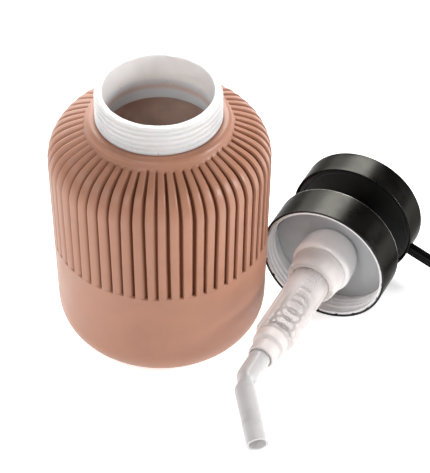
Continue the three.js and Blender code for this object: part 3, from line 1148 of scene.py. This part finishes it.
@dataclass
class Collar(OnPump):
    """Screw collar: metal shell, threaded liner and sealing washer. Millimetres."""

    body: ClassVar[Body] = Body.COLLAR

    radius: float = 27.5
    height: float = 15.8
    wall: float = 0.6
    hole: float = 9.0
    liner_outer: float = 26.6
    liner_root: float = 25.75
    liner_top: float = 14.9
    plate: tuple[float, float] = (12.6, 13.6)
    chimney: float = 9.8
    washer: tuple[float, float] = (11.5, 12.3)
    washer_hole: float = 10.2
    thread_depth: float = 0.9
    thread_pitch: float = 2.5
    notches: int = 20

    def build(self) -> None:
        """Builds the three pieces."""
        shell = self.shell()
        for face in shell.data.polygons:
            heights = [shell.data.vertices[index].co.z for index in face.vertices]
            radii = [shell.data.vertices[index].co.xy.length for index in face.vertices]
            inside = min(radii) < (self.radius - 0.5) * MM and max(heights) < (self.height - 0.5) * MM
            if max(heights) < 0.6 * MM or inside:
                face.material_index = 1
            elif min(heights) > (self.height - 0.5) * MM and min(radii) > (self.radius - 0.5) * MM:
                face.material_index = 2
        self.place(shell, LACQUER, "black_metal", "collar_shell")
        shell.data.materials.append(LIP.material())
        shell.data.materials.append(EDGE.material())
        self.place(self.liner(), WHITE, "white_plastic", "collar_liner")
        # Sealing washer: its grey is partly painted shade inside the collar.
        washer = bush(self.washer_hole, self.liner_root - GAP, *self.washer, (0.2, 0.2, 0.2, 0.2))
        self.place(revolve("sealing_washer", washer), FOAM_WITH_SHADE, "grey_washer", "sealing_washer")

    def shell(self) -> bpy.types.Object:
        """The drawn metal shell, with a rolled lip and a bright eased top edge.

        Returns:
            The piece.
        """
        inner = self.radius - self.wall
        outline = rounded([
            (inner - 0.2, 0.3, 0.06),
            (inner - 0.2, 0, 0.08),
            (self.radius, 0, 0.2),
            (self.radius, 0.6),
            (self.radius, self.height, 0.45),
            (self.hole, self.height, 0.2),
            (self.hole, self.height - self.wall, 0.2),
            (inner, self.height - self.wall, 0.2),
            (inner, 0.35, 0.05),
        ], steps=6)
        return revolve("collar_shell", dense(outline, 2.4), 160)

    def liner(self) -> bpy.types.Object:
        """The liner: an inner thread, and a ring of small notches at its lip.

        Returns:
            The piece.
        """
        step = self.chimney + 1.7
        lip = self.liner_root - 0.22
        outline = rounded([
            (self.liner_root, 1.5, 0.2),
            (lip, 1.2, 0.2),
            (lip, 0.4, 0.12),
            (self.liner_outer, 0.4, 0.06),
            (self.liner_outer, self.liner_top, 0.3),
            (step, self.liner_top, 0.1),
            (step, self.plate[1]),
            (self.chimney + GAP, self.plate[1], 0.1),
            (self.chimney + GAP, self.plate[0], 0.1),
            (self.liner_root, self.plate[0], 0.25),
        ])
        outline = dense(outline, 0.3)

        def shift(angle: float, r: float, z: float) -> tuple[float, float]:
            """Raises the inner thread and cuts the notches.

            Args:
                angle: Radians round the axis.
                r: Radius of the point.
                z: Height of the point.

            Returns:
                The new radius and height.
            """
            if abs(r - self.liner_root) < 0.02 and 1.6 < z < self.plate[0] - 1.4:
                ridge = 1 - smooth(0.2, 0.66, off_thread(angle, z, self.thread_pitch))
                ends = smooth(1.8, 2.8, z) * (1 - smooth(8.6, 9.6, z))
                r -= self.thread_depth * ridge * ends
            if z < 0.9 and r > self.liner_root + 0.1:
                notch = smooth(0.9, 0.97, math.cos(self.notches * angle))
                r -= 0.5 * notch * smooth(self.liner_root + 0.1, self.liner_outer, r)
                z += 0.25 * notch
            return r, z

        return revolve("collar_liner", outline, 320, True, shift)


# ---- Housing -------------------------------------------------------------------------------------

@dataclass
class Housing(OnPump):
    """The pump's body: cap, guide, ring, cylinder, ball cage, dip tube and spring. Millimetres."""

    body: ClassVar[Body] = Body.HOUSING

    dome: float = 13.0
    dome_drop: float = 3.0
    dome_top: float = 11.2
    chimney: float = 9.8
    chimney_bore: float = 8.5
    chimney_top: float = 14.9
    ring_radius: float = 11.6
    ring_height: float = 9.6
    cylinder: float = 8.2
    cylinder_bore: float = 7.0
    cylinder_end: float = 48.0
    chamber: float = 6.8
    chamber_end: float = -55.6
    socket: float = 5.5
    socket_end: float = -61.8
    seat_hole: float = 1.9
    cage_hole: float = 1.4
    lobe: float = 2.2
    tube: float = 4.4
    tube_bore: float = 3.5
    tube_straight: float = 18.0
    tube_tail: float = 25.97
    tube_bend: float = 38.0
    bend_radius: float = 9.0
    stem: float = 3.8
    spring: float = 4.9
    spring_wire: float = 0.55
    spring_turns: float = 5.0
    spring_ends: tuple[float, float] = (-47.35, -24.85)
    stroke: float = 13.0
    ball: float = 2.4

    def build(self) -> None:
        """Builds the seven pieces and the inlet ball."""
        self.place(self.cap(), GLOSS, "white_gloss_plastic", "housing_cap")
        self.place(self.guide(), WHITE, "white_plastic", "stem_guide")
        self.place(self.ring(), CUP, "clear_plastic", "housing_ring")
        self.place(self.barrel(), CLEAR, "clear_plastic", "pump_cylinder")
        self.place(self.cage(), WHITE, "white_plastic", "ball_cage")
        self.place(self.dip_tube(), TUBE, "clear_tube", "dip_tube")
        self.spring_piece()
        low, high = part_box("inlet_ball")
        centre = self.pose.matrix.inverted() @ ((Vector(low) + Vector(high)) / 2)
        self.place_ball("inlet_ball", Body.INLET, self.ball, centre.z / MM)

    def spring_piece(self) -> None:
        """Dresses the spring and gives it a mesh of its own."""
        spring = self.coil()
        self.place(spring, STEEL, "spring_steel", "return_spring")
        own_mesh(spring)

    def cap(self) -> bpy.types.Object:
        """The glossy cap: a round bell with the neck that the collar turns on.

        Returns:
            The piece.
        """
        bell = arc((self.chimney, 0), (self.dome - self.chimney, self.dome_top), (0, 84), 16)
        outline = rounded([
            (self.cylinder + GAP, -self.dome_drop, 0.2),
            *arc((self.dome - 2.2, -0.8), (2.2, 2.2), (-90, -12), 8),
            *bell,
            (self.chimney, self.dome_top + 0.6),
            (self.chimney, self.chimney_top - 1),
            (self.chimney + 1.1, self.chimney_top - 1, 0.2),
            (self.chimney + 0.5, self.chimney_top, 0.2),
            (self.chimney_bore, self.chimney_top, 0.2),
            (self.chimney_bore, 2, 0.3),
            (self.cylinder + GAP, 1.6, 0.2),
        ])
        return revolve("housing_cap", outline, 128)

    def guide(self) -> bpy.types.Object:
        """The bush that the stem slides in.

        Returns:
            The piece.
        """
        outline = rounded([
            (self.stem + GAP, -2, 0.2), (self.cylinder_bore - GAP, -2, 0.2),
            (self.cylinder_bore - GAP, 0.9), (self.cylinder, 0.9, 0.15),
            (self.cylinder, 2.2, 0.3), (self.stem + GAP, 2.2, 0.3),
        ])
        return revolve("stem_guide", outline, 64)

    def ring(self) -> bpy.types.Object:
        """The retaining ring: tapered, with four low ribs and a rolled lower edge.

        Returns:
            The piece.
        """
        top = -self.dome_drop - GAP
        outline = dense(rounded([
            (self.cylinder + GAP, top - self.ring_height, 0.3),
            (self.ring_radius - 1.1, top - self.ring_height, 0.9),
            (self.ring_radius - 0.5, top - 4.2, 1.2),
            (self.ring_radius, top - 1.5, 0.6),
            (self.ring_radius, top, 0.4),
            (self.cylinder + GAP, top, 0.2),
        ]), 1.2)

        def shift(angle: float, r: float, z: float) -> tuple[float, float]:
            """Flats between the ribs.

            Args:
                angle: Radians round the axis.
                r: Radius of the point.
                z: Height of the point.

            Returns:
                The new radius and height.
            """
            if r > self.cylinder + 1 and z < top - 5:
                r -= 0.22 * smooth(0.1, 0.5, abs(math.sin(2 * angle)))
            return r, z

        return revolve("housing_ring", outline, 128, True, shift)

    def barrel(self) -> bpy.types.Object:
        """The stepped cylinder, with the parting line of its mould.

        Returns:
            The piece.
        """
        chamber_start = -self.cylinder_end - 1.5
        outline = dense(rounded([
            (self.tube + GAP, self.socket_end, 0.15),
            (self.socket, self.socket_end, 0.5),
            (self.socket, self.chamber_end, 0.4),
            (self.chamber, self.chamber_end + 1.0, 0.5),
            (self.chamber, -self.cylinder_end - 1.4, 0.4),
            (self.cylinder, -self.cylinder_end, 0.8),
            (self.cylinder, 0.6, 0.3),
            (self.cylinder_bore, 0.6, 0.3),
            (self.cylinder_bore, chamber_start, 0.2),
            (self.chamber - 1.2, chamber_start, 0.2),
            (self.chamber - 1.2, self.chamber_end + 4.6, 0.3),
            (self.seat_hole, self.chamber_end + 1.1, 0.2),
            (self.seat_hole, self.chamber_end - 0.6, 0.1),
            (self.tube + GAP, self.chamber_end - 0.6, 0.1),
        ]), 1.5)

        def shift(angle: float, r: float, z: float) -> tuple[float, float]:
            """The parting line of the mould.

            Args:
                angle: Radians round the axis.
                r: Radius of the point.
                z: Height of the point.

            Returns:
                The new radius and height.
            """
            if r > self.socket - 0.1 and z > self.socket_end + 0.5:
                r += 0.08 * smooth(0.996, 0.9995, abs(math.cos(angle)))
            return r, z

        return revolve("pump_cylinder", outline, 160, True, shift)

    def cage(self) -> bpy.types.Object:
        """The ball's stop, with a three-lobed hole.

        Returns:
            The piece.
        """
        bottom = -self.cylinder_end - 1.2
        outline = bush(self.cage_hole, self.cylinder_bore - GAP, bottom, bottom + 1,
                       (0.15, 0.2, 0.2, 0.15))

        def shift(angle: float, r: float, z: float) -> tuple[float, float]:
            """Opens three lobes in the hole.

            Args:
                angle: Radians round the axis.
                r: Radius of the point.
                z: Height of the point.

            Returns:
                The new radius and height.
            """
            if r < self.cage_hole + 0.6:
                r += self.lobe * smooth(0.1, 0.9, math.cos(3 * angle))
            return r, z

        return revolve("ball_cage", outline, 96, True, shift)

    def dip_tube(self) -> bpy.types.Object:
        """The dip tube, creased where its free end bends away.

        Returns:
            The piece.
        """
        bend = math.radians(self.tube_bend)
        start = self.chamber_end - 0.9
        elbow = Vector((0, 0, start - self.tube_straight))
        leg = self.bend_radius * math.tan(bend / 2)
        corner = elbow - Vector((0, 0, leg))
        out = Vector((math.sin(bend), 0, -math.cos(bend)))
        after = corner + out * leg
        straight, curved, tail = 24, 14, 30
        path = [Vector((0, 0, start)).lerp(elbow, i / straight) for i in range(straight)]
        for step in range(curved):
            t = step / curved
            path.append((1 - t) ** 2 * elbow + 2 * t * (1 - t) * corner + t * t * after)
        path += [after.lerp(after + out * self.tube_tail, i / tail) for i in range(tail + 1)]
        middle = straight + curved / 2

        def squash(index: int) -> tuple[float, float]:
            """Flattens the section at the crease."""
            near = math.exp(-((index - middle) / 4.2) ** 2)
            return 1 + 0.1 * near, 1 - 0.42 * near

        return sweep("dip_tube", path, self.tube, self.tube_bore, 40, squash)

    def coil(self) -> bpy.types.Object:
        """The return spring, with closed end coils.

        Returns:
            The piece.
        """
        steps = int(28 * self.spring_turns)
        low, high = self.spring_ends
        path = []
        for index in range(steps + 1):
            t = index / steps
            angle = 2 * math.pi * self.spring_turns * t
            rise = smooth(-0.12, 1.12, t)
            path.append(Vector((self.spring * math.cos(angle), self.spring * math.sin(angle),
                                low + (high - low) * rise)))
        return sweep("return_spring", path, self.spring_wire, 0.0, 12)


# ---- Plunger and head ----------------------------------------------------------------------------

@dataclass
class Plunger(OnPump):
    """What moves in the cylinder: the piston and its rod. Millimetres."""

    body: ClassVar[Body] = Body.PLUNGER

    rod: float = 3.8
    bore: float = 7.0
    flange: float = -24.0
    piston_height: float = 7.0

    def build(self) -> None:
        """Builds both pieces."""
        low = self.flange + 1.6
        high = low + self.piston_height
        seal = self.bore - 0.1
        piston = rounded([
            (self.rod + GAP, low, 0.15), (seal - 0.9, low + 0.8, 0.2), (seal, low, 0.1),
            (seal, low + 1.6, 0.3), (seal - 1, low + 2.6, 0.4), (seal - 1, high - 2.2, 0.4),
            (seal, high - 1.2, 0.3), (seal, high, 0.1), (seal - 0.8, high - 0.7, 0.2),
            (self.rod + GAP, high - 0.5, 0.15),
        ])
        self.place(revolve("piston", piston), SEAL, "seal_plastic", "piston")
        rod = rounded([
            (0, self.flange - 2.4), (2.6, self.flange - 2.4, 0.3), (3.2, self.flange, 0.1),
            (self.bore - 1.1, self.flange, 0.3), (self.bore - 1.1, self.flange + 1.3, 0.3),
            (self.rod, self.flange + 1.3, 0.2), (self.rod, high + 0.3, 0.3), (0, high + 0.3),
        ], closed=False)
        self.place(revolve("piston_rod", rod, 64, False), WHITE, "white_plastic", "piston_rod")


@dataclass
class Head(OnPump):
    """The press head: stem, sleeve, core, metal shell, spout and outlet ball. Millimetres."""

    body: ClassVar[Body] = Body.HEAD

    radius: float = 26.9
    rim: float = 30.7
    height: float = 12.3
    wall: float = 0.6
    recess: float = 1.0
    stem_radius: float = 3.8
    stem_bore: float = 1.9
    stem_low: float = -14.8
    sleeve: float = 7.6
    collar_top: float = 15.8
    spout: float = 2.5
    spout_bore: float = 1.7
    spout_reach: float = 65.88
    spout_root: float = 9.0
    spout_set: float = 4.8
    ball: float = 2.3

    def build(self) -> None:
        """Builds the six pieces."""
        top = self.rim + self.height
        stem_top = self.rim + 3.3
        stem = bush(self.stem_bore, self.stem_radius, self.stem_low, stem_top, (0.2, 0.3, 0.3, 0.2))
        self.place(revolve("stem", stem, 64), WHITE, "white_plastic", "stem")
        core_low = self.rim + self.recess
        sleeve = bush(self.stem_radius + GAP, self.sleeve, self.collar_top + GAP, core_low - GAP,
                      (0.2, 0.5, 0.1, 0.1))
        self.place(revolve("stem_sleeve", sleeve), BLACK, "black_plastic", "stem_sleeve")
        self.place(self.core(core_low, top, stem_top), BLACK, "black_plastic", "head_core")
        self.place(self.shell(top), LACQUER, "black_metal", "head_shell")
        self.place(self.spout_tube(), SPOUT, "black_spout", "spout_tube")
        rise = math.sqrt((self.ball + 0.1) ** 2 - self.stem_bore ** 2)
        self.place_ball("outlet_ball", Body.OUTLET, self.ball, stem_top + rise)

    def lay(self, piece: bpy.types.Object) -> None:
        """Turns an upright piece to lie along the spout's axis."""
        piece.data.transform(Matrix.Rotation(math.radians(90), 4, "Y"))
        piece.data.transform(Matrix.Translation((0, 0, (self.rim + self.spout_set) * MM)))

    def drill(self, piece: bpy.types.Object, radius: float, start: float, end: float) -> None:
        """Cuts a round hole along the spout's axis.

        Args:
            piece: The piece to cut.
            radius: Radius of the hole.
            start: Distance from the pump's axis where the hole starts.
            end: Distance where it ends.
        """
        tool = revolve("drill", [(0, start), (radius, start), (radius, end), (0, end)], 48, False)
        self.lay(tool)
        cut = piece.modifiers.new("cut", "BOOLEAN")
        cut.operation, cut.solver, cut.object = "DIFFERENCE", "EXACT", tool
        with bpy.context.temp_override(object=piece, active_object=piece):
            bpy.ops.object.modifier_apply(modifier=cut.name)
        bpy.data.objects.remove(tool, do_unlink=True)

    def core(self, low: float, top: float, stem_top: float) -> bpy.types.Object:
        """The moulded core: a disc under the shell, with a boss for the stem and a web ring.

        Args:
            low: Level of its foot.
            top: Level of the head's top.
            stem_top: Level of the stem's top.

        Returns:
            The core, with the channel to the spout.
        """
        high = top - self.wall - GAP
        radius = self.radius - self.wall - GAP
        room = self.ball + 0.7
        outline = rounded([
            (0, stem_top + 6.0), (room, stem_top + 6.0, 0.3), (room, stem_top + GAP, 0.1),
            (self.stem_radius + GAP, stem_top + GAP, 0.1), (self.stem_radius + GAP, low, 0.2),
            (self.sleeve + 1.5, low, 0.4), (self.sleeve + 2.1, low + 0.9, 0.3),
            (radius - 2.4, low + 0.9, 0.3), (radius - 1.8, low, 0.3), (radius, low, 0.4),
            (radius, high, 0.4), (0, high),
        ], closed=False)
        core = revolve("head_core", outline, 128, False)
        self.drill(core, self.spout_bore, 0.5, self.spout_root + 1)
        self.drill(core, self.spout + 0.15, self.spout_root - GAP, radius + 3)
        return core

    def shell(self, top: float) -> bpy.types.Object:
        """The drawn metal cap, with an eased top edge, a rolled rim and the spout's hole.

        Args:
            top: Level of its top.

        Returns:
            The cap.
        """
        inner = self.radius - self.wall
        outline = dense(rounded([
            (0, top), (self.radius, top, 0.8), (self.radius, self.rim, 0.25),
            (inner, self.rim, 0.25), (inner, top - self.wall, 0.3), (0, top - self.wall),
        ], closed=False, steps=6), 2.4, closed=False)
        shell = revolve("head_shell", outline, 160, False)
        self.drill(shell, self.spout + 0.2, self.radius - 5, self.radius + 4)
        return shell

    def spout_tube(self) -> bpy.types.Object:
        """The spout: a straight thin tube with a softened tip.

        Returns:
            The piece.
        """
        outline = dense(bush(self.spout_bore, self.spout, self.spout_root, self.spout_reach,
                             (0.1, 0.2, 0.4, 0.3)), 3.0)
        tube = revolve("spout_tube", outline, 48)
        self.lay(tube)
        return tube


# ---- Studio --------------------------------------------------------------------------------------

@dataclass
class Studio:
    """Pale floor, soft lights and the camera. Metres and degrees."""

    target: tuple[float, float, float] = (0.0222, 0.0, 0.0443)
    distance: float = 1.083
    elevation: float = 41.2
    lens: float = 200.5

    def build(self) -> None:
        """Builds the stage."""
        self.floor()
        self.camera()
        self.light("back", 0, 42, 0.95, (0.75, 0.40), 11.5)
        self.light("back left", -32, 17, 0.95, (0.7, 0.26), 3.6)
        self.light("left", -105, 36, 1.0, (0.5, 0.5), 2.2)
        self.light("right", 98, 21, 1.0, (0.24, 0.24), 7.4)
        self.light("front", -160, 38, 1.0, (0.45, 0.45), 3.4)
        world = bpy.data.worlds.new("Studio")
        bpy.context.scene.world = world
        world.use_nodes = True
        back = world.node_tree.nodes["Background"]
        back.inputs["Color"].default_value = grey(1.0)
        back.inputs["Strength"].default_value = 0.12
        scene = bpy.context.scene
        scene.view_settings.view_transform = "Standard"
        scene.view_settings.look = "None"

    def floor(self) -> None:
        """A wide pale sheet."""
        mesh = bmesh.new()
        bmesh.ops.create_grid(mesh, x_segments=8, y_segments=8, size=3.0)
        sheet = finished("floor", mesh)
        sheet.location.z = -0.0001
        material = bpy.data.materials.new("Pale sheet")
        material.use_nodes = True
        Tree(material.node_tree).fill(material.node_tree.nodes["Principled BSDF"], {
            "Base Color": grey(0.9), "Roughness": 0.9, "Emission Color": grey(1.0),
            "Emission Strength": 0.6,
        })
        sheet.data.materials.append(material)

    def camera(self) -> None:
        """A long lens, looking down at the dispenser from the front."""
        data = bpy.data.cameras.new("camera")
        data.sensor_width = 36.0
        data.lens = self.lens
        camera = bpy.data.objects.new("camera", data)
        bpy.context.scene.collection.objects.link(camera)
        angle = math.radians(self.elevation)
        back = Vector((0.0, -math.cos(angle), math.sin(angle)))
        camera.location = Vector(self.target) + back * self.distance
        camera.rotation_euler = (-back).to_track_quat("-Z", "Y").to_euler()
        bpy.context.scene.camera = camera

    def light(self, name: str, azimuth: float, elevation: float, distance: float,
              size: tuple[float, float], power: float) -> None:
        """A soft light aimed at the dispenser.

        Args:
            name: Name of the light.
            azimuth: Degrees clockwise from the back, seen from above.
            elevation: Degrees above the floor.
            distance: Distance from the aim point.
            size: Width and height.
            power: Watts.
        """
        data = bpy.data.lights.new(name, "AREA")
        data.shape, data.energy = "RECTANGLE", power
        data.size, data.size_y = size
        lamp = bpy.data.objects.new(name, data)
        bpy.context.scene.collection.objects.link(lamp)
        turn, rise = math.radians(azimuth), math.radians(elevation)
        out = Vector((math.sin(turn) * math.cos(rise), math.cos(turn) * math.cos(rise), math.sin(rise)))
        lamp.location = Vector(self.target) + out * distance
        lamp.rotation_euler = (-out).to_track_quat("-Z", "Y").to_euler()


def main() -> None:
    """Builds the stage and every sub-assembly."""
    logging.basicConfig(level=logging.INFO, format="%(name)s: %(message)s")
    Studio().build()
    pose = Pose.of_pump()
    for assembly in (Bottle(), Collar(pose), Housing(pose), Plunger(pose), Head(pose)):
        LOG.info("building %s", type(assembly).__name__)
        assembly.build()


if __name__ == "__main__":
    main()
